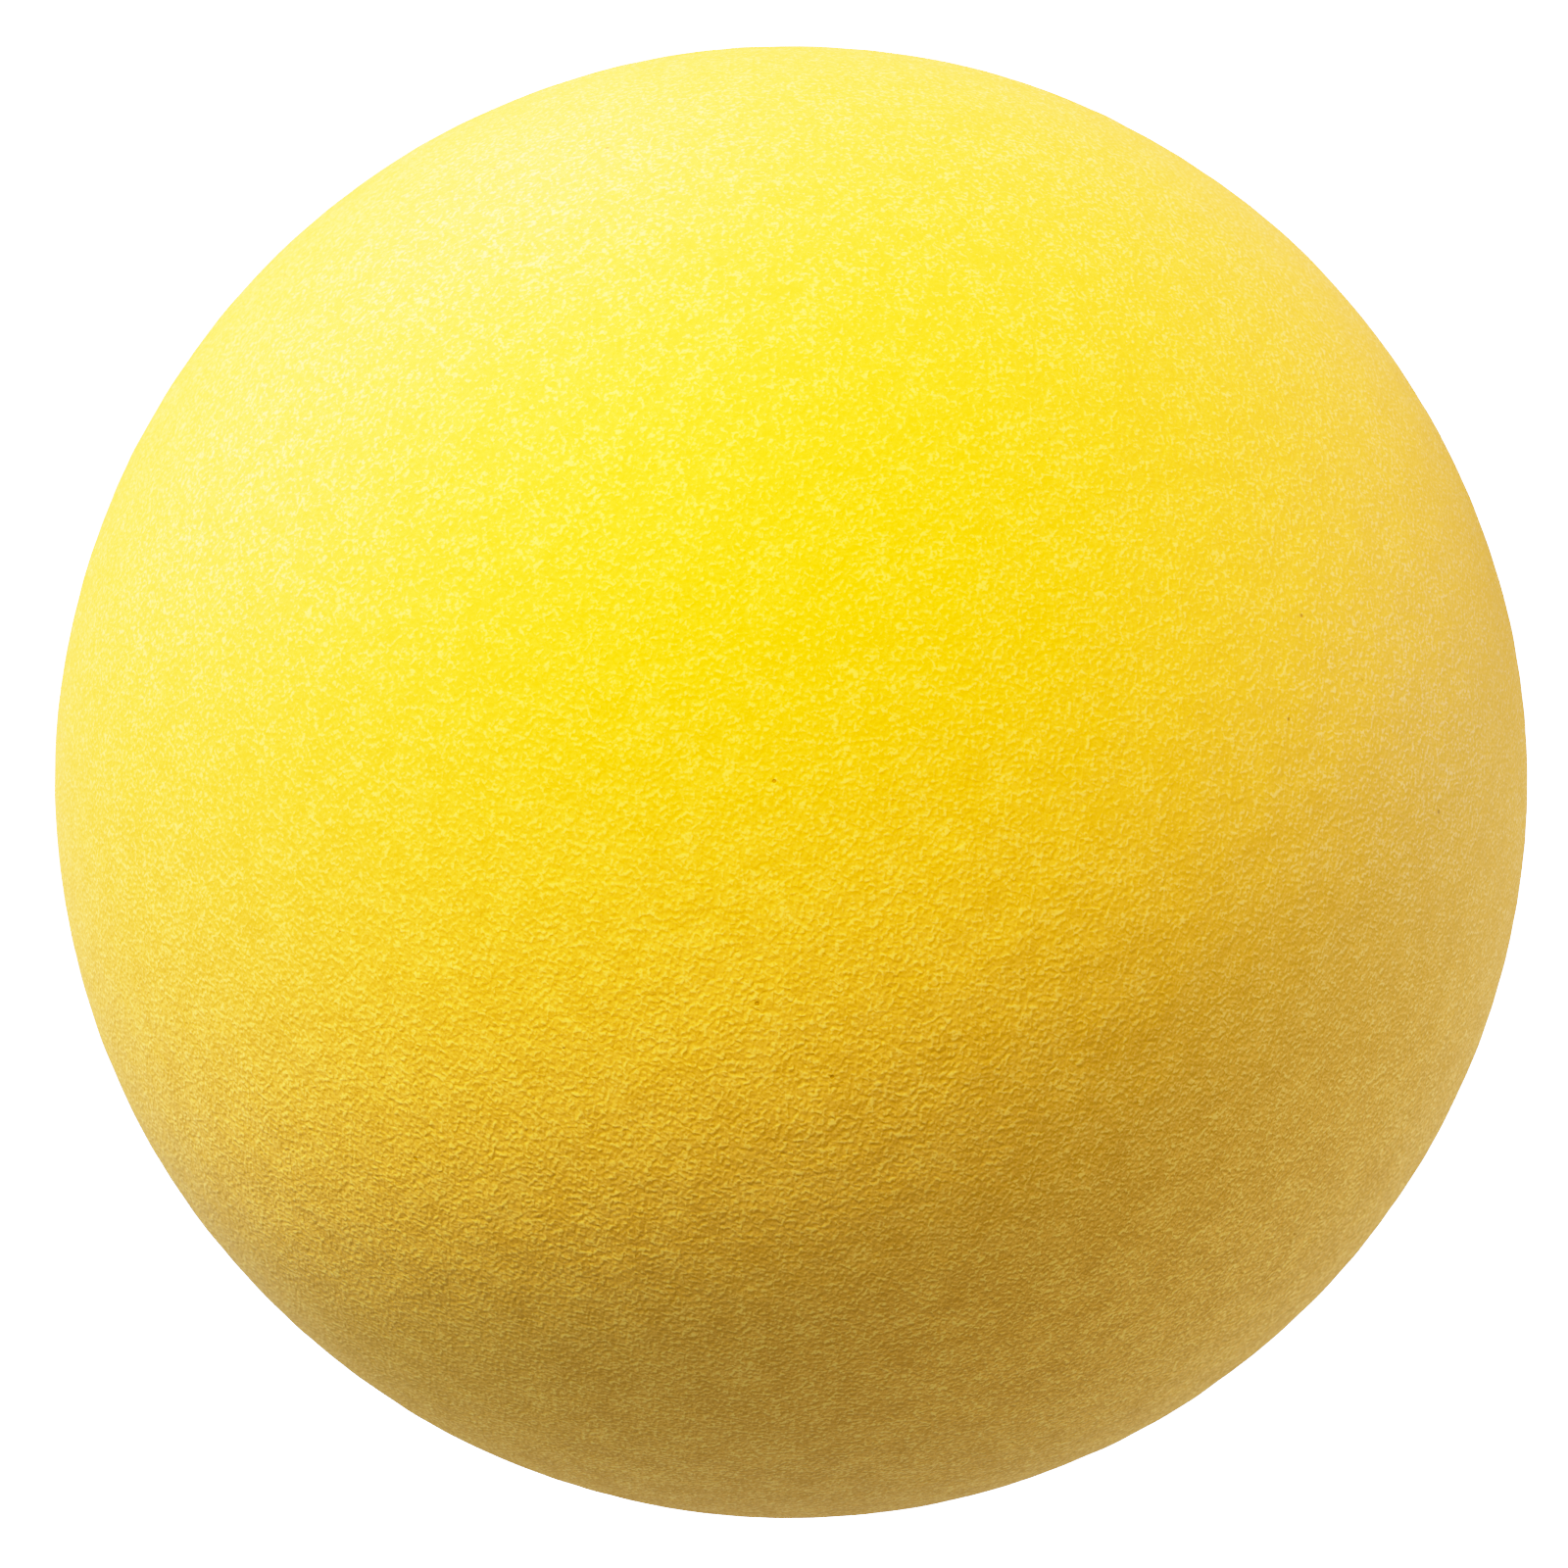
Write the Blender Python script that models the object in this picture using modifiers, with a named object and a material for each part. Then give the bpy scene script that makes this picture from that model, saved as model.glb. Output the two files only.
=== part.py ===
"""A round squeeze ball of flexible polyurethane foam, for the hand or the desk.

It is moulded in one shot against a cold mould wall, which leaves two layers of different
density: a soft foam core, and the dense coloured skin around it. The mould is filled
through one round gate at the bottom. The skin is missing there, and the foam that stood
in the gate is cut off flat, which is the only flat place on the ball.

Metres, +Z up, origin at the centre of the ball, with the gate straight below it.
"""

import math

import bmesh
import bpy

# Overall size
BALL_DIAMETER = 0.070

# The dense skin and the round place where the mould was filled
SKIN_THICKNESS = 0.0010
GATE_DIAMETER = 0.0060

# Clearance between two pieces that touch on the real ball
TOUCH_GAP = 0.0003

# Facets: steps around the vertical axis, and steps along each quarter of the outline
TURN_STEPS = 48
QUARTER_STEPS = 12

# An edge sharper than this is a corner. A flatter one belongs to a rounded surface.
CORNER_ANGLE = math.radians(35)

COLLECTION_NAME = "stress_ball"

# Base colour, roughness and metallic value of each layer
SKIN_FINISH = ((0.83, 0.49, 0.02, 1.0), 0.62, 0.0)
FOAM_FINISH = ((0.80, 0.52, 0.09, 1.0), 0.90, 0.0)


def clear_scene():
    """Remove whatever the file holds, so that only the ball is left."""
    for leftover in list(bpy.data.objects):
        bpy.data.objects.remove(leftover, do_unlink=True)


def depth_at(sphere_radius, distance_from_axis):
    """Height, below the centre, of a sphere's surface at this distance from the Z axis."""
    return -math.sqrt(sphere_radius**2 - distance_from_axis**2)


def sphere_outline(sphere_radius, edge_radius):
    """Outline of a sphere at +X, from the top down to a round edge near the bottom.

    The upper and the lower quarter are divided apart, so that a ring always lies on the
    equator and the facets reach the full diameter.
    """
    edge_angle = math.acos(edge_radius / sphere_radius)
    upper = [math.pi / 2 * (1 - step / QUARTER_STEPS) for step in range(QUARTER_STEPS)]
    lower = [-edge_angle * step / QUARTER_STEPS for step in range(QUARTER_STEPS + 1)]
    points = [(sphere_radius * math.cos(a), sphere_radius * math.sin(a)) for a in upper + lower]
    points[0] = (0.0, sphere_radius)
    return points


def turned(name, outline, collection):
    """Turn an outline of (distance from the axis, height) points once around the Z axis."""
    mesh = bpy.data.meshes.new(name)
    vertices = [(distance, 0.0, height) for distance, height in outline]
    edges = [(index, index + 1) for index in range(len(outline) - 1)]
    mesh.from_pydata(vertices, edges, [])
    piece = bpy.data.objects.new(name, mesh)
    collection.objects.link(piece)
    turn = piece.modifiers.new("turn", "SCREW")
    turn.axis = "Z"
    turn.angle = 2 * math.pi
    turn.steps = TURN_STEPS
    turn.render_steps = TURN_STEPS
    turn.use_merge_vertices = True
    turn.merge_threshold = 0.00001
    turn.use_smooth_shade = True
    return piece


def finish_piece(piece, finish):
    """Give a piece its own material."""
    base_color, roughness, metallic = finish
    material = bpy.data.materials.new(piece.name)
    material.use_nodes = True
    shader = material.node_tree.nodes["Principled BSDF"]
    shader.inputs["Base Color"].default_value = base_color
    shader.inputs["Roughness"].default_value = roughness
    shader.inputs["Metallic"].default_value = metallic
    piece.data.materials.append(material)


def evaluated_mesh(piece):
    """Turn a piece's modifiers into its own mesh."""
    graph = bpy.context.evaluated_depsgraph_get()
    mesh = bpy.data.meshes.new_from_object(piece.evaluated_get(graph))
    piece.modifiers.clear()
    piece.data = mesh
    return mesh


def shade_round(piece):
    """Smooth shading, with the edges of the gate left sharp."""
    mesh = evaluated_mesh(piece)
    shape = bmesh.new()
    shape.from_mesh(mesh)
    bmesh.ops.remove_doubles(shape, verts=shape.verts, dist=0.000001)
    shape.to_mesh(mesh)
    shape.free()
    mesh.shade_smooth()
    mesh.set_sharp_from_angle(angle=CORNER_ANGLE)


def make_outer_skin(collection):
    """The dense skin: a thin round shell, open at the gate."""
    outline = sphere_outline(BALL_DIAMETER / 2, GATE_DIAMETER / 2)
    skin = turned("outer_skin", outline, collection)
    wall = skin.modifiers.new("skin_thickness", "SOLIDIFY")
    wall.thickness = SKIN_THICKNESS
    wall.offset = -1.0
    wall.use_even_offset = True
    shade_round(skin)
    finish_piece(skin, SKIN_FINISH)
    return skin


def make_foam_core(collection):
    """The foam inside the skin, with the short stub that fills the gate.

    The stub is cut off level with the skin's edge. It clears the narrow, inner end of
    the gate, because the sides of the gate point at the centre of the ball.
    """
    ball_radius = BALL_DIAMETER / 2
    gate_radius = GATE_DIAMETER / 2
    core_radius = ball_radius - SKIN_THICKNESS - TOUCH_GAP
    gate_inner_radius = gate_radius * (ball_radius - SKIN_THICKNESS) / ball_radius
    stub_radius = gate_inner_radius - TOUCH_GAP
    cut_height = depth_at(ball_radius, gate_radius)
    outline = sphere_outline(core_radius, stub_radius)
    outline += [(stub_radius, cut_height), (0.0, cut_height)]
    core = turned("foam_core", outline, collection)
    shade_round(core)
    finish_piece(core, FOAM_FINISH)
    return core


def main():
    clear_scene()
    collection = bpy.data.collections.new(COLLECTION_NAME)
    bpy.context.scene.collection.children.link(collection)
    make_foam_core(collection)
    make_outer_skin(collection)


main()
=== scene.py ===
"""A round foam squeeze ball: its dense matte skin, and the foam that shows at the trimmed gate.

The skin is one closed shell. Its outer face carries the soft unevenness of a moulded foam
skin, the faint parting line of the mould and the rounded edge of the gate as real shape.
The grain, which is finer than the mesh, is in its material.
"""

import math

import bpy
import numpy as np
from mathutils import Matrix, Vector


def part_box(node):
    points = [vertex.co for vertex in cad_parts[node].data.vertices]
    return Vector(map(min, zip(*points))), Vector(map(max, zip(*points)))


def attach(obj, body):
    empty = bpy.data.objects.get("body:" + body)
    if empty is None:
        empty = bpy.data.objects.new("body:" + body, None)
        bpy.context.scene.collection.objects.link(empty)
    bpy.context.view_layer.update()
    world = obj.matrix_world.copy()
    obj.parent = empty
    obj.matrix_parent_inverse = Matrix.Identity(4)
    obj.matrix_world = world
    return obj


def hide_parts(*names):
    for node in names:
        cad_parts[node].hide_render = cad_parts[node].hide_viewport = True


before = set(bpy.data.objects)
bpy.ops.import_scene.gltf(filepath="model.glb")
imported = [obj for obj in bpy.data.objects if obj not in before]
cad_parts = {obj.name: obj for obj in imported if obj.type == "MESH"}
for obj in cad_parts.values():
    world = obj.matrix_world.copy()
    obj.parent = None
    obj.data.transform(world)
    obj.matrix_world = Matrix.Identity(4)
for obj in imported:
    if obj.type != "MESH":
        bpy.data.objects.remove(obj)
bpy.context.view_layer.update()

MM = 0.001

# ---------------------------------------------------------------- sizes from the frame

skin_low, skin_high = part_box("outer_skin")
core_low, core_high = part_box("foam_core")
BALL_RADIUS = (skin_high[0] - skin_low[0]) / 2
GATE_RADIUS = math.sqrt(BALL_RADIUS**2 - skin_low[2] ** 2)
CORE_RADIUS = core_high[2]
CUT_HEIGHT = core_low[2]
FLOOR_HEIGHT = skin_low[2]
# Skin and foam are grown together on a real ball. Here they stay this far apart
LAYER_GAP = 0.3 * MM
INNER_RADIUS = CORE_RADIUS + LAYER_GAP

# ---------------------------------------------------------------- relief of the skin

# Rings of points between a pole and the equator of the outer face
SKIN_RINGS = 155
# The outer face stays this far inside the true sphere, so that no bump leaves its box
SKIN_INSET = 0.03 * MM
# Unevenness: pitch and height of each layer of soft lumps
LUMPS = ((14.0 * MM, 0.012 * MM), (4.0 * MM, 0.006 * MM), (1.8 * MM, 0.006 * MM))
# Parting line: half width and height of the trimmed ridge
LINE_HALF_WIDTH = 0.45 * MM
LINE_HEIGHT = 0.02 * MM
# How far the line wanders sideways, and the pitch of its bends
LINE_WANDER = 0.15 * MM
LINE_BEND_PITCH = 9 * MM
# The line's height as a share of the full one, how much that varies, and over what pitch
LINE_SHARE = 0.6
LINE_SHARE_CHANGE = 0.4
LINE_SHARE_PITCH = 6 * MM
# Gate: how far the skin's edge is rounded over, and how deep
GATE_EDGE = 0.5 * MM
SKIN_EDGE_DROP = 0.12 * MM
# Height of the gate's edge as a share of the ball's radius, and how many of the outer
# face's rings of points fall inside the gate
GATE_LEVEL = -math.sqrt(1 - (GATE_RADIUS / BALL_RADIUS) ** 2)
RINGS_IN_GATE = round(math.sqrt(1 + GATE_LEVEL) * SKIN_RINGS)
# Rings of points on the skin's cut edge, and on its inner wall
CUT_EDGE_RINGS = 5
INNER_WALL_RINGS = 40

# ---------------------------------------------------------------- foam in the gate

# The foam fills the gate up to a hair of the skin's edge
PLUG_CLEARANCE = 0.05 * MM
PLUG_RADIUS = GATE_RADIUS * INNER_RADIUS / BALL_RADIUS - PLUG_CLEARANCE
# Open cells of the cut face: distance between neighbours, and depth
CELL_PITCH = 0.34 * MM
CELL_DEPTH = 0.14 * MM
# Strength of the cells of half that pitch, beside the large ones
SMALL_CELLS = 0.5
# A cell begins where the noise passes the first value and has its full depth where it is
# higher by the second. The power rounds the cell's bottom
CELL_BEGINS = 0.2
CELL_SIDE = 0.9
CELL_ROUNDING = 0.7
# The cut tears the face a little: height and pitch
TEAR_HEIGHT = 0.02 * MM
TEAR_PITCH = 1.1 * MM
# Rings of points on the hidden sphere, the stub and the cut face, and points in each ring
CORE_RINGS = 30
STUB_RINGS = 6
FACE_RINGS = 48
FACE_COLUMNS = 200

# ---------------------------------------------------------------- shapes

# Waves in each layer of smooth noise, and how many go into a pitch: the longest, the shortest
WAVES_PER_LAYER = 48
WAVES_PER_PITCH = (0.75, 1.3)
# Points closer than this are one point
SAME_PLACE = 0.00001 * MM
# Points this near a plane lie on it
ON_PLANE = 0.001 * MM


def waves(points, pitch, seed):
    """Smooth noise with one pitch: plane waves in random directions, added up.

    value = sum of cos(2 pi / pitch * direction . point + phase), divided so that its
    standard deviation is 1.
    """
    chance = np.random.default_rng(seed)
    directions = chance.normal(size=(WAVES_PER_LAYER, 3))
    directions /= np.linalg.norm(directions, axis=1, keepdims=True)
    stretch = chance.uniform(*WAVES_PER_PITCH, WAVES_PER_LAYER)
    phases = chance.uniform(0, 2 * np.pi, WAVES_PER_LAYER)
    total = np.zeros(len(points))
    for direction, factor, phase in zip(directions, stretch, phases):
        total += np.cos(points @ (direction * factor * 2 * np.pi / pitch) + phase)
    return total / math.sqrt(WAVES_PER_LAYER / 2)


def weld(points, faces, map_places=None):
    """Joins points that lie in the same place; drops faces that close up and points unused."""
    key = np.round(points / SAME_PLACE).astype(np.int64)
    _, first, index = np.unique(key, axis=0, return_index=True, return_inverse=True)
    faces = index.reshape(-1)[faces]
    keep = (faces != np.roll(faces, 1, axis=1)).all(1)
    used, faces = np.unique(faces[keep], return_inverse=True)
    points, faces = points[first][used], faces.reshape(-1, 3)
    if map_places is None:
        return points, faces, None
    return points, faces, map_places.reshape(-1, 3, 2)[keep]


def mesh_piece(name, points, faces, map_places=None):
    """Puts welded points and triangles into a smooth-shaded piece at the origin."""
    mesh = bpy.data.meshes.new(name)
    mesh.vertices.add(len(points))
    mesh.vertices.foreach_set("co", points.astype(np.float32).ravel())
    mesh.loops.add(faces.size)
    mesh.loops.foreach_set("vertex_index", faces.astype(np.int32).ravel())
    mesh.polygons.add(len(faces))
    mesh.polygons.foreach_set("loop_start", np.arange(0, faces.size, 3, dtype=np.int32))
    if map_places is not None:
        layer = mesh.uv_layers.new(name="OFBake")
        layer.uv.foreach_set("vector", map_places.astype(np.float32).ravel())
    mesh.update(calc_edges=True)
    mesh.shade_smooth()
    piece = bpy.data.objects.new(name, mesh)
    bpy.context.scene.collection.objects.link(piece)
    return piece


def turned(outline, turns):
    """Points of a body of revolution: each (radius, height) of the outline, at each turn."""
    return np.stack(
        [
            outline[:, :1] * np.cos(turns)[None],
            outline[:, :1] * np.sin(turns)[None],
            np.broadcast_to(outline[:, 1:], (len(outline), len(turns))),
        ],
        -1,
    )


def grid_faces(rows, columns):
    """Triangles of a grid that closes round on itself, on the outer side when rows go down."""
    here = np.arange(rows - 1)[:, None] * columns + np.arange(columns)[None]
    beside = np.arange(rows - 1)[:, None] * columns + (np.arange(columns) + 1)[None] % columns
    a, b = here.ravel(), beside.ravel()
    c, d = b + columns, a + columns
    return np.concatenate([np.stack([a, c, b], 1), np.stack([a, d, c], 1)])


def outer_grid():
    """Directions over the whole ball on a square grid, with its triangles, map and rings.

    The square's middle is the top pole and its corners are the bottom pole. With
    s = |u| + |v|, every s is one circle of latitude, whose height is 1 - s^2 down to the
    equator at s = 1 and (2 - s)^2 - 1 below it, so all cells have the same area. The
    longitude runs evenly round each circle. The cells are cut along the circles.
    """
    steps = np.arange(-SKIN_RINGS, SKIN_RINGS + 1)
    across, up = np.meshgrid(steps, steps, indexing="ij")
    ring = np.abs(across) + np.abs(up)
    near = np.minimum(ring, 2 * SKIN_RINGS - ring)
    reach = near / SKIN_RINGS
    height = np.where(ring <= SKIN_RINGS, 1 - reach**2, reach**2 - 1)
    wide = np.sqrt(np.maximum(1 - height**2, 0))
    inner_side = np.where(ring <= SKIN_RINGS, np.abs(up), SKIN_RINGS - np.abs(across))
    quarter = np.pi / 2 * inner_side / np.maximum(near, 1)
    x = wide * np.cos(quarter) * np.where(across < 0, -1, 1)
    y = wide * np.sin(quarter) * np.where(up < 0, -1, 1)
    directions = np.stack([x, y, height], -1).reshape(-1, 3)
    places = (np.stack([across, up], -1).reshape(-1, 2) / SKIN_RINGS + 1) / 2

    count = 2 * SKIN_RINGS + 1
    a = (np.arange(count - 1)[:, None] * count + np.arange(count - 1)[None]).ravel()
    b, c, d = a + count, a + count + 1, a + 1
    middle = steps[:-1] + 0.5
    same_sign = (middle[:, None] * middle[None] > 0).ravel()
    one = np.where(same_sign[:, None], np.stack([a, b, d], 1), np.stack([a, b, c], 1))
    two = np.where(same_sign[:, None], np.stack([b, c, d], 1), np.stack([a, c, d], 1))
    return directions, np.concatenate([one, two]), places, ring.ravel()


def skin_relief(directions):
    """Height of the skin against its true sphere: soft lumps, parting line, gate edge.

    The lumps are layers of waves(). The line adds height * e^(-(y / half width)^2), where y
    is the distance from a line that wanders about the plane y = 0. Beside the gate the skin
    sinks by drop * (1 - distance / reach)^2. Nothing rises above the sphere.
    """
    points = directions * BALL_RADIUS
    along_line = points * (1, 0, 1)
    relief = np.full(len(points), -SKIN_INSET)
    for layer, (pitch, height) in enumerate(LUMPS):
        relief += height * waves(points, pitch, seed=layer + 1)
    wander = LINE_WANDER * waves(along_line, LINE_BEND_PITCH, seed=21)
    off_line = (points[:, 1] - wander) / LINE_HALF_WIDTH
    change = waves(along_line, LINE_SHARE_PITCH, seed=22).clip(-1, 1)
    relief += LINE_HEIGHT * (LINE_SHARE + LINE_SHARE_CHANGE * change) * np.exp(-(off_line**2))
    from_gate = np.hypot(points[:, 0], points[:, 1]) - GATE_RADIUS
    beside = np.where(directions[:, 2] < 0, from_gate, BALL_RADIUS)
    relief -= SKIN_EDGE_DROP * np.clip(1 - beside / GATE_EDGE, 0, 1) ** 2
    return np.minimum(relief, 0)


def outer_face():
    """The skin's outer face with its relief, open at the gate.

    The ring of the grid that is nearest the gate's edge is moved onto it, and the rings past
    it are left out. Gives points, triangles, each point's place on the map, and which points
    are on the edge.
    """
    directions, faces, places, ring = outer_grid()
    last_ring = 2 * SKIN_RINGS - RINGS_IN_GATE
    on_edge = ring == last_ring
    edge_width = GATE_RADIUS / BALL_RADIUS
    scale = edge_width / np.hypot(directions[on_edge, 0], directions[on_edge, 1])
    directions[on_edge, :2] *= scale[:, None]
    directions[on_edge, 2] = GATE_LEVEL
    faces = faces[(ring[faces] <= last_ring).all(1)]
    points = directions * (BALL_RADIUS + skin_relief(directions))[:, None]
    return points, faces, places, on_edge


def inner_wall(edge_points):
    """The skin's cut edge and the plain wall inside, as rings round the vertical axis.

    The rings go straight in from the gate's edge, towards the ball's centre, and then over
    the inside of the sphere to the top. The first ring is the gate's edge itself.
    """
    columns = 4 * RINGS_IN_GATE
    turns = np.pi / 2 * np.arange(columns) / RINGS_IN_GATE
    gate_tilt = math.acos(GATE_LEVEL)
    outer_radius = BALL_RADIUS - SKIN_INSET - SKIN_EDGE_DROP
    edge_radii = np.linspace(outer_radius, INNER_RADIUS, CUT_EDGE_RINGS)
    radii = np.concatenate([edge_radii, np.full(INNER_WALL_RINGS, INNER_RADIUS)])
    wall_tilts = np.linspace(gate_tilt, 0, INNER_WALL_RINGS + 1)[1:]
    tilts = np.concatenate([np.full(CUT_EDGE_RINGS, gate_tilt), wall_tilts])
    rings = turned(np.stack([radii * np.sin(tilts), radii * np.cos(tilts)], 1), turns)
    turn_of_edge = np.mod(np.arctan2(edge_points[:, 1], edge_points[:, 0]), 2 * np.pi)
    slot_of_edge = np.round(turn_of_edge / (2 * np.pi / columns)).astype(int) % columns
    rings[0, slot_of_edge] = edge_points
    return rings.reshape(-1, 3), grid_faces(len(radii), columns)


def make_skin():
    """The skin as one closed shell. Its inside, which nobody sees, is one spot of the map."""
    points, faces, places, on_edge = outer_face()
    wall_points, wall_faces = inner_wall(points[on_edge])
    hidden_spot = places[len(places) // 2]
    wall_places = np.broadcast_to(hidden_spot, (wall_faces.size, 2))
    map_places = np.concatenate([places[faces].reshape(-1, 2), wall_places])
    faces = np.concatenate([faces, wall_faces + len(points)])
    points = np.concatenate([points, wall_points])
    return mesh_piece("ball_skin", *weld(points, faces, map_places))


def make_core():
    """The foam inside, as one turned body: hidden sphere, stub in the gate, cut face.

    The cut face is a disc whose points sink into the ball by the foam's open cells: wherever
    the cell noise is high the face is hollowed, with steep sides and round bottoms.
    """
    neck_tilt = math.acos(-math.sqrt(1 - (PLUG_RADIUS / CORE_RADIUS) ** 2))
    tilts = np.linspace(0, neck_tilt, CORE_RINGS + 1)
    sphere_rings = np.stack([CORE_RADIUS * np.sin(tilts), CORE_RADIUS * np.cos(tilts)], 1)
    stub_heights = np.linspace(sphere_rings[-1, 1], CUT_HEIGHT, STUB_RINGS + 1)[1:]
    stub_rings = np.stack([np.full(STUB_RINGS, PLUG_RADIUS), stub_heights], 1)
    face_radii = np.linspace(PLUG_RADIUS, 0, FACE_RINGS + 1)[1:]
    face_rings = np.stack([face_radii, np.full(FACE_RINGS, CUT_HEIGHT)], 1)
    outline = np.concatenate([sphere_rings, stub_rings, face_rings])
    turns = 2 * np.pi * np.arange(FACE_COLUMNS) / FACE_COLUMNS
    points = turned(outline, turns).reshape(-1, 3)
    on_face = points[:, 2] <= CUT_HEIGHT + ON_PLANE
    small_cells = waves(points, CELL_PITCH / 2, seed=32)
    cells = waves(points, CELL_PITCH, seed=31) + SMALL_CELLS * small_cells
    sunk = np.clip((cells - CELL_BEGINS) / CELL_SIDE, 0, 1) ** CELL_ROUNDING
    torn = 1 + waves(points, TEAR_PITCH, seed=33).clip(-1, 1)
    points[:, 2] += on_face * (CELL_DEPTH * sunk + TEAR_HEIGHT * torn)
    faces = grid_faces(len(outline), FACE_COLUMNS)
    return mesh_piece("ball_foam", *weld(points, faces))


# ---------------------------------------------------------------- materials

# A noise texture of scale 1 has its features about this far apart
NOISE_SPACING = 1.8

# Wrinkles of the skin: distance between neighbours, and height if the noise ran from 0 to 1
GRAIN_PITCH = 0.36 * MM
GRAIN_HEIGHT = 0.023 * MM
# How much finer detail the wrinkles carry, and how far they are twisted
GRAIN_DETAIL = 1.5
GRAIN_TWIST = 0.4
# Sharp ridges on top of them: distance, steepness and share of the height
RIDGE_PITCH = 1.8 * GRAIN_PITCH
RIDGE_STEEPNESS = 6.0
RIDGE_SHARE = 0.15
# Patches where the skin is paler or darker, and how far the painted shade and light of the sides
# and the painted glints follow them
MOTTLE_PITCH = 2.7 * MM
MOTTLE_ON_SIDES = 0.3
MOTTLE_ON_GLINTS = 0.25
# Painted light falls from this way: the wrinkle sides that face it are painted paler as light,
# the sides behind painted darker as shade
PAINTED_LIGHT_WAY = (-0.36, -0.42, 0.83)
PAINTED_SIDE_STEP = 0.095 * MM
# Downwards, over the ball's shaded underside, the wrinkles deepen and their painted shade, light
# and glints grow stronger: not above the first height, fully below the second
SHADE_AND_DEPTH_FROM = 0.3 * BALL_RADIUS
SHADE_AND_DEPTH_FULL_AT = -0.6 * BALL_RADIUS
DEEP_HEIGHT_FACTOR = 2.3
# Where the sides turn from painted shade to painted light
SIDE_RANGE = (-0.26, 0.32)
# Painted glints on the wrinkle tips: how much the sides facing the light count, and where the
# glints begin and are full
GLINT_ON_LIT_SIDES = 0.6
GLINT_RANGE = (0.74, 1.03)
# Upper ball: painted shade and painted light on the wrinkle sides, and the painted glint on the
# tips
UPPER_PAINTED_SHADE = (0.82, 0.425, 0.008, 1)
UPPER_PAINTED_LIGHT = (0.97, 0.51, 0.055, 1)
UPPER_PAINTED_GLINT = (1.0, 0.62, 0.25, 1)
# Underside: darker painted shade, paler and bluer painted light, and its painted glint, painted
# for the shaded underside
LOWER_PAINTED_SHADE = (0.54, 0.283, 0.062, 1)
LOWER_PAINTED_LIGHT = (0.98, 0.57, 0.173, 1)
LOWER_PAINTED_GLINT = (1.0, 0.71, 0.23, 1)
# The grain's level in the hollows and on the tips, and the roughness of each
ROUGHNESS_RANGE = (0.4, 0.8)
HOLLOW_ROUGHNESS = 0.68
TIP_ROUGHNESS = 0.52
# Pinholes: distance between the points that they come from, their radius, and the share of
# the radius within which they are fully deep
PINHOLE_PITCH = 4.4 * MM
PINHOLE_RADIUS = 0.12 * MM
PINHOLE_FLOOR = 0.6
# Painted shade inside the pinholes
PINHOLE_PAINTED_SHADE = (0.42, 0.20, 0.0, 1)

# Cut foam: where the walls between the fine cells begin and are full, and their height
FOAM_WALL_RANGE = (0.2, 0.6)
FOAM_WALL_HEIGHT = 0.03 * MM
FOAM_YELLOW = (0.95, 0.60, 0.18, 1)
# Painted shade in the hollows between the cell walls
FOAM_HOLLOW_SHADE = (0.62, 0.32, 0.03, 1)


class Graph:
    """A material's nodes, made and joined by name."""

    def __init__(self, name):
        self.material = bpy.data.materials.new(name)
        self.material.use_nodes = True
        self.tree = self.material.node_tree
        self.shader = self.tree.nodes["Principled BSDF"]
        self.place = self.tree.nodes.new("ShaderNodeTexCoord").outputs["Object"]

    def node(self, kind, **settings):
        made = self.tree.nodes.new("ShaderNode" + kind)
        for name, value in settings.items():
            setattr(made, name, value)
        return made

    def put(self, socket, value):
        if isinstance(value, bpy.types.NodeSocket):
            self.tree.links.new(value, socket)
        else:
            socket.default_value = value

    def math(self, operation, a, b=0.0, c=0.0):
        made = self.node("Math", operation=operation)
        for socket, value in zip(made.inputs, (a, b, c)):
            self.put(socket, value)
        return made.outputs[0]

    def height(self):
        """Height of the point above the middle of the piece."""
        made = self.node("SeparateXYZ")
        self.put(made.inputs[0], self.place)
        return made.outputs["Z"]

    def shifted(self, way, step):
        """The place one step further in a direction."""
        made = self.node("VectorMath", operation="ADD")
        self.put(made.inputs[0], self.place)
        made.inputs[1].default_value = tuple(step * part for part in way)
        return made.outputs[0]

    def noise(self, pitch, detail, distortion=0.0, place=None):
        """Noise from 0 to 1 whose features lie about one pitch apart."""
        made = self.node("TexNoise")
        self.put(made.inputs["Vector"], place or self.place)
        made.inputs["Scale"].default_value = NOISE_SPACING / pitch
        made.inputs["Detail"].default_value = detail
        made.inputs["Distortion"].default_value = distortion
        return made.outputs["Fac"]

    def cells(self, pitch):
        """Distance to the nearest of scattered points, in pitches; they lie about one apart."""
        made = self.node("TexVoronoi")
        self.put(made.inputs["Vector"], self.place)
        made.inputs["Scale"].default_value = 1.0 / pitch
        return made.outputs["Distance"]

    def ramp(self, value, low, high, to_low=0.0, to_high=1.0):
        """Smooth step from to_low at low to to_high at high."""
        made = self.node("MapRange", interpolation_type="SMOOTHSTEP")
        made.inputs["From Min"].default_value = low
        made.inputs["From Max"].default_value = high
        made.inputs["To Min"].default_value = to_low
        made.inputs["To Max"].default_value = to_high
        self.put(made.inputs["Value"], value)
        return made.outputs[0]

    def blend(self, share, low, high):
        """The first colour where the share is 0 and the second where it is 1."""
        made = self.node("Mix", data_type="RGBA")
        self.put(made.inputs[0], share)
        self.put(made.inputs[6], low)
        self.put(made.inputs[7], high)
        return made.outputs[2]

    def bump(self, height, distance):
        """Relief that only the light shows: a height from 0 to 1, times a distance."""
        made = self.node("Bump")
        self.put(made.inputs["Height"], height)
        self.put(made.inputs["Distance"], distance)
        made.inputs["Strength"].default_value = 1.0
        return made.outputs["Normal"]


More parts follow.
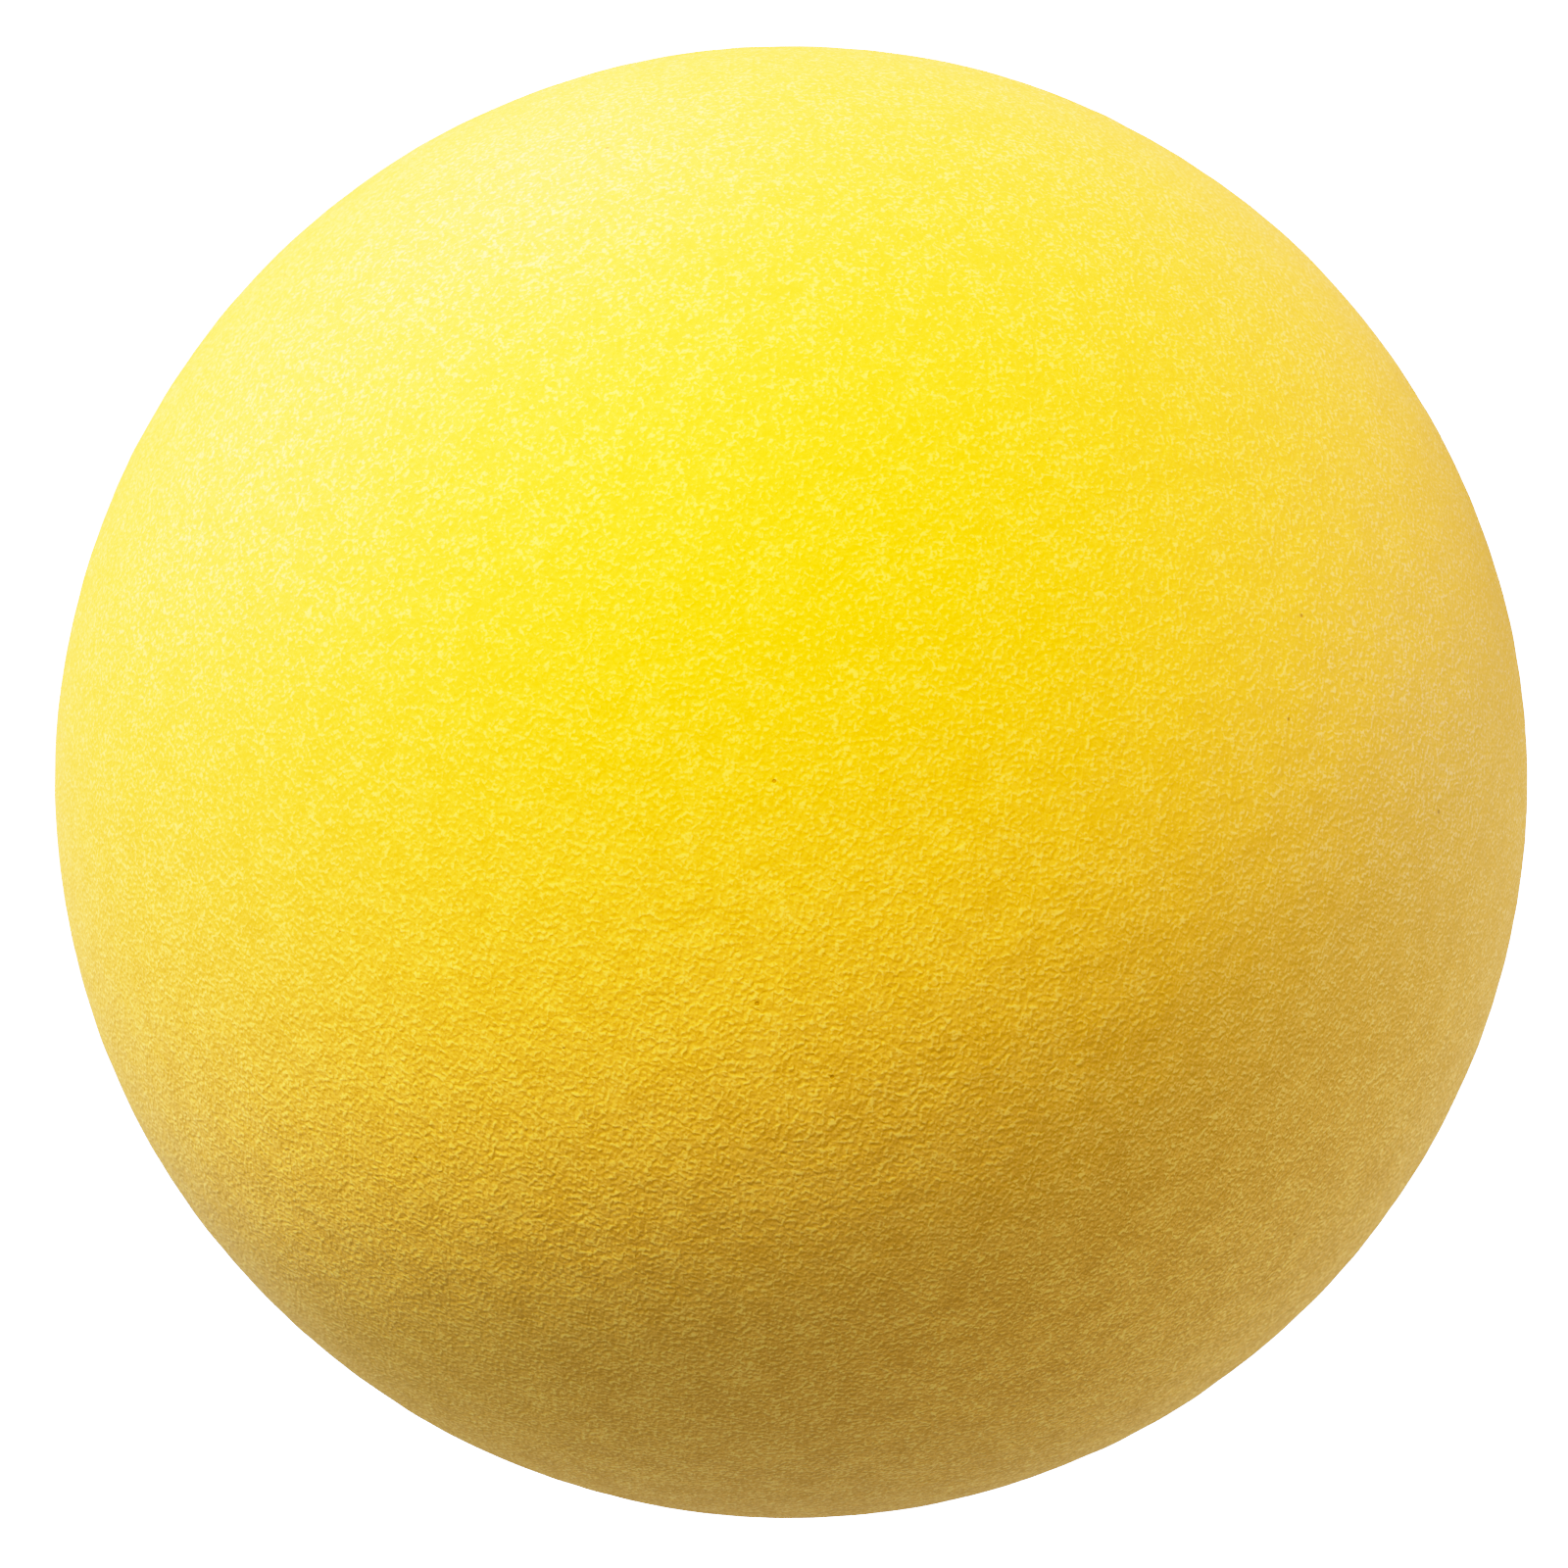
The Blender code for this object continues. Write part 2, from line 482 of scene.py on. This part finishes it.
def skin_material():
    """Matte moulded polyurethane skin: fine short wrinkles with painted glints, in loose
    patches.

    The grain is a plain noise n plus a share of a ridged one, 1 - |steepness * (m - 1/2)|.
    The side of a wrinkle comes from n here less n a short step further on, towards the painted
    light;
    the side facing it is painted paler as light, the side behind darker as shade. Towards the
    gate, over the shaded underside, the wrinkles deepen, with stronger painted shade and light
    and more relief.
    """
    g = Graph("matte_foam_skin")
    here = g.noise(GRAIN_PITCH, GRAIN_DETAIL, GRAIN_TWIST)
    ahead = g.noise(GRAIN_PITCH, GRAIN_DETAIL, GRAIN_TWIST, place=g.shifted(PAINTED_LIGHT_WAY, PAINTED_SIDE_STEP))
    # Painted light and shade: the sides facing the light get painted light, the sides behind
    # painted shade
    side = g.math("SUBTRACT", here, ahead)
    wrinkle = g.noise(RIDGE_PITCH, detail=1.0)
    slope = g.math("MULTIPLY_ADD", wrinkle, RIDGE_STEEPNESS, -RIDGE_STEEPNESS / 2)
    ridge = g.math("SUBTRACT", 1.0, g.math("ABSOLUTE", slope))
    grain = g.math("MULTIPLY_ADD", ridge, RIDGE_SHARE, here)

    mottle = g.noise(MOTTLE_PITCH, detail=2.0)
    plain_side = g.math("SUBTRACT", side, MOTTLE_ON_SIDES / 2)
    uneven_side = g.math("MULTIPLY_ADD", mottle, MOTTLE_ON_SIDES, plain_side)
    uneven_grain = g.math("MULTIPLY_ADD", mottle, MOTTLE_ON_GLINTS, grain)
    # Painted glints: on the tips of the grain, more on the sides that face the light
    high = g.math("MULTIPLY_ADD", side, GLINT_ON_LIT_SIDES, uneven_grain)

    # Stronger painted shade and light, and deeper relief, downwards over the shaded underside
    shade_and_depth = g.ramp(g.height(), SHADE_AND_DEPTH_FROM, SHADE_AND_DEPTH_FULL_AT)
    dark = g.blend(shade_and_depth, UPPER_PAINTED_SHADE, LOWER_PAINTED_SHADE)
    light = g.blend(shade_and_depth, UPPER_PAINTED_LIGHT, LOWER_PAINTED_LIGHT)
    painted_glint = g.blend(shade_and_depth, UPPER_PAINTED_GLINT, LOWER_PAINTED_GLINT)
    # Painted light and shade on the wrinkle sides
    body = g.blend(g.ramp(uneven_side, *SIDE_RANGE), dark, light)
    # Painted glints laid over the painted light and shade
    toned = g.blend(g.ramp(high, *GLINT_RANGE), body, painted_glint)

    hole_edge = PINHOLE_RADIUS / PINHOLE_PITCH
    hole = g.ramp(g.cells(PINHOLE_PITCH), hole_edge, PINHOLE_FLOOR * hole_edge)
    roughness = g.ramp(grain, *ROUGHNESS_RANGE, HOLLOW_ROUGHNESS, TIP_ROUGHNESS)
    relief = g.ramp(shade_and_depth, 0.0, 1.0, GRAIN_HEIGHT, GRAIN_HEIGHT * DEEP_HEIGHT_FACTOR)
    # Painted shade inside the pinholes
    g.put(g.shader.inputs["Base Color"], g.blend(hole, toned, PINHOLE_PAINTED_SHADE))
    g.put(g.shader.inputs["Roughness"], roughness)
    g.put(g.shader.inputs["Normal"], g.bump(g.math("SUBTRACT", grain, hole), relief))
    g.shader.inputs["IOR"].default_value = 1.5
    g.shader.inputs["Specular IOR Level"].default_value = 0.31
    g.shader.inputs["Sheen Weight"].default_value = 0.06
    g.shader.inputs["Sheen Roughness"].default_value = 0.5
    return g.material


def foam_material():
    """Cut polyurethane foam: fine open cells, pale walls and painted shade in the hollows."""
    g = Graph("cut_foam")
    walls = g.ramp(g.cells(CELL_PITCH / 2), *FOAM_WALL_RANGE)
    # Painted shade in the hollows, the foam's yellow on the walls
    g.put(g.shader.inputs["Base Color"], g.blend(walls, FOAM_HOLLOW_SHADE, FOAM_YELLOW))
    g.put(g.shader.inputs["Normal"], g.bump(walls, FOAM_WALL_HEIGHT))
    g.shader.inputs["Roughness"].default_value = 0.9
    return g.material


# ---------------------------------------------------------------- studio

LENS = 100.0
SENSOR = 36.0
CAMERA_ELEVATION = 5.0
CLIP_NEAR = 0.01
CLIP_FAR = 100.0
# The ball's diameter as a share of the picture's width
BALL_SHARE = 0.94
# How far the ball sits off the picture's middle, as shares of its width
SHIFT_RIGHT = 0.0046
SHIFT_UP = 0.0015

WHITE = (1, 1, 1, 1)
# Brightness of the plain white that the camera sees round the ball
BACKDROP_STRENGTH = 8.0
# Half the floor's width
FLOOR_REACH = 60 * BALL_RADIUS
# What the ball sees instead: a pale floor, brighter at the back, and faint warm light all round
FLOOR_GLOW_FRONT = 0.42
FLOOR_GLOW_BACK = 1.13
FLOOR_TINT = (1.12, 1.0, 0.62, 1)
AMBIENT = 0.19
AMBIENT_TINT = (1.2, 1.0, 0.45, 1)
LIGHT_DISTANCE = 0.6
# Azimuth, elevation and half width as seen from the ball, in degrees; brightness; colour
SOFTBOXES = {
    "key": (320, 53, 12, 72.0, (1.47, 1.0, 0.07)),
    "key_fill": (290, 20, 20, 3.5, (1.05, 1.0, 0.1)),
    "front_right": (60, 18, 15, 5.6, (1.4, 1.0, 0.1)),
    "rim_left": (255, 29, 12, 16.4, (0.9, 1.0, 1.25)),
    "rim_right": (105, 2, 13, 10.0, (0.96, 1.0, 0.8)),
    "rear_high": (227, 58, 12, 15.0, (0.95, 1.0, 1.8)),
    "rear_wide": (125, 45, 33, 0.5, (0.75, 0.85, 2.2)),
}
# Tone curve: straight up to the knee, then it closes in on white, up to the brightest value
TONE_KNEE = 0.1
TONE_TOP = 6.0
TONE_POINTS = 24
# What each colour loses before the curve: a little of the blue, which deepens the yellow
TONE_BLACK = (0, 0, 0.012)


def camera_sees_white(tree, kind, strength, tint, output):
    """Gives off one light to the ball and plain white to the camera's own rays.

    The strength of the light is a number or a socket.
    """
    seen = tree.nodes.new("ShaderNodeLightPath")
    mix = tree.nodes.new("ShaderNodeMixShader")
    tree.links.new(seen.outputs["Is Camera Ray"], mix.inputs[0])
    for slot, power, color in ((1, strength, tint), (2, BACKDROP_STRENGTH, WHITE)):
        glow = tree.nodes.new(kind)
        glow.inputs["Color"].default_value = color
        if isinstance(power, bpy.types.NodeSocket):
            tree.links.new(power, glow.inputs["Strength"])
        else:
            glow.inputs["Strength"].default_value = power
        tree.links.new(glow.outputs[0], mix.inputs[slot])
    tree.links.new(mix.outputs[0], output.inputs["Surface"])


def floor_glow(tree):
    """Strength of the floor's light, which rises evenly from front to back under the ball."""
    place = tree.nodes.new("ShaderNodeTexCoord")
    parts = tree.nodes.new("ShaderNodeSeparateXYZ")
    tree.links.new(place.outputs["Object"], parts.inputs[0])
    rise = tree.nodes.new("ShaderNodeMapRange")
    tree.links.new(parts.outputs["Y"], rise.inputs["Value"])
    rise.inputs["From Min"].default_value = -BALL_RADIUS
    rise.inputs["From Max"].default_value = BALL_RADIUS
    rise.inputs["To Min"].default_value = FLOOR_GLOW_FRONT
    rise.inputs["To Max"].default_value = FLOOR_GLOW_BACK
    return rise.outputs[0]


def make_floor():
    """A pale glowing floor under the ball, bright white to the camera."""
    square = ((-1, -1), (1, -1), (1, 1), (-1, 1))
    corners = [(x * FLOOR_REACH, y * FLOOR_REACH, FLOOR_HEIGHT) for x, y in square]
    mesh = bpy.data.meshes.new("floor")
    mesh.from_pydata(corners, [], [(0, 1, 2, 3)])
    floor = bpy.data.objects.new("floor", mesh)
    bpy.context.scene.collection.objects.link(floor)
    material = bpy.data.materials.new("pale_floor")
    material.use_nodes = True
    tree = material.node_tree
    tree.nodes.remove(tree.nodes["Principled BSDF"])
    output = tree.nodes["Material Output"]
    camera_sees_white(tree, "ShaderNodeEmission", floor_glow(tree), FLOOR_TINT, output)
    mesh.materials.append(material)


def make_surroundings():
    """Faint light from all round, and white where the camera looks past the ball."""
    world = bpy.data.worlds.new("studio")
    world.use_nodes = True
    bpy.context.scene.world = world
    tree = world.node_tree
    tree.nodes.remove(tree.nodes["Background"])
    output = tree.nodes["World Output"]
    camera_sees_white(tree, "ShaderNodeBackground", AMBIENT, AMBIENT_TINT, output)


def direction_of(azimuth, elevation):
    """Unit vector from the ball: azimuth 0 is towards the camera, 90 to the camera's right."""
    turn, lift = math.radians(azimuth), math.radians(elevation)
    level = math.cos(lift)
    return Vector((math.sin(turn) * level, -math.cos(turn) * level, math.sin(lift)))


def place_facing_ball(item, azimuth, elevation, distance):
    """Puts a lamp or a camera in a direction from the ball, looking back at its centre."""
    away = direction_of(azimuth, elevation)
    item.location = away * distance
    item.rotation_mode = "QUATERNION"
    item.rotation_quaternion = away.to_track_quat("Z", "Y")
    bpy.context.scene.collection.objects.link(item)


def make_softbox(name, azimuth, elevation, half_width, brightness, color):
    """A round soft light that faces the ball; its power is brightness times pi times area."""
    lamp = bpy.data.lights.new(name, "AREA")
    lamp.shape = "DISK"
    radius = LIGHT_DISTANCE * math.tan(math.radians(half_width))
    lamp.size = 2 * radius
    lamp.energy = brightness * math.pi * (math.pi * radius**2)
    lamp.color = color
    place_facing_ball(bpy.data.objects.new(name, lamp), azimuth, elevation, LIGHT_DISTANCE)


def make_camera():
    """A long lens a little above the ball, so far off that the ball fills its share."""
    half_angle = math.atan(BALL_SHARE * SENSOR / 2 / LENS)
    data = bpy.data.cameras.new("camera")
    data.lens = LENS
    data.sensor_width = SENSOR
    data.shift_x = -SHIFT_RIGHT
    data.shift_y = -SHIFT_UP
    data.clip_start = CLIP_NEAR
    data.clip_end = CLIP_FAR
    camera = bpy.data.objects.new("camera", data)
    place_facing_ball(camera, 0, CAMERA_ELEVATION, BALL_RADIUS / math.sin(half_angle))
    bpy.context.scene.camera = camera


def set_tones():
    """Tone curve: y = x up to the knee k, then y = k + (1 - k)(1 - e^(-(x - k) / (1 - k)))."""
    view = bpy.context.scene.view_settings
    view.view_transform = "Standard"
    view.use_curve_mapping = True
    curves = view.curve_mapping
    curves.white_level = (TONE_TOP,) * 3
    curves.black_level = TONE_BLACK
    # The fourth curve is the one for all three colours together
    curve = curves.curves[3]
    light = TONE_TOP * np.linspace(0, 1, TONE_POINTS) ** 2
    over = np.maximum(light - TONE_KNEE, 0) / (1 - TONE_KNEE)
    shown = np.where(light < TONE_KNEE, light, TONE_KNEE + (1 - TONE_KNEE) * (1 - np.exp(-over)))
    for x, y in zip(light[1:-1] / TONE_TOP, shown[1:-1]):
        curve.points.new(x, y)
    curves.update()


skin = make_skin()
skin.data.materials.append(skin_material())
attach(skin, "root")
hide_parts("outer_skin")

core = make_core()
core.data.materials.append(foam_material())
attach(core, "root")
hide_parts("foam_core")

make_floor()
make_surroundings()
for name, setting in SOFTBOXES.items():
    make_softbox(name, *setting)
make_camera()
set_tones()
